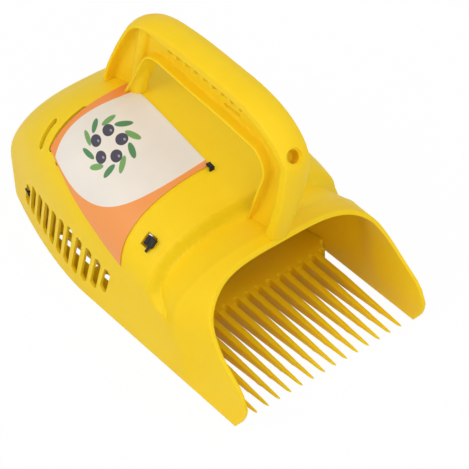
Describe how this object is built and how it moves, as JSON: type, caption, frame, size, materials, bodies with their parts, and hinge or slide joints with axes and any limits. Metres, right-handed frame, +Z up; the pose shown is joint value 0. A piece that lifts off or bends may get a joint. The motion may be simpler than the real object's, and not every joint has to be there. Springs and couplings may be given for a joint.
{
  "type": "berry picking rake",
  "caption": "One-hand berry picking rake: a moulded scoop with a hooded mouth, a comb of pointed tines, vented sides and a loop handle.",
  "frame": {"origin": "on the ground under the middle of the rake's bounding box", "axes": "+Z up, -Y out of the mouth along the tines, X across; the label is on the -X side"},
  "size_m": [0.1526, 0.2892, 0.1846],
  "materials": {
    "shell": "satin yellow moulding",
    "comb": "satin deep yellow moulding",
    "label": "smooth printed film",
    "tie": "black nylon"
  },
  "bodies": {
    "root": {"body_shell": "shell", "comb_floor": "comb", "label_card": "label", "tie_shoulder": "tie", "tie_corner": "tie", "tie_rear": "tie"}
  },
  "joints": []
}
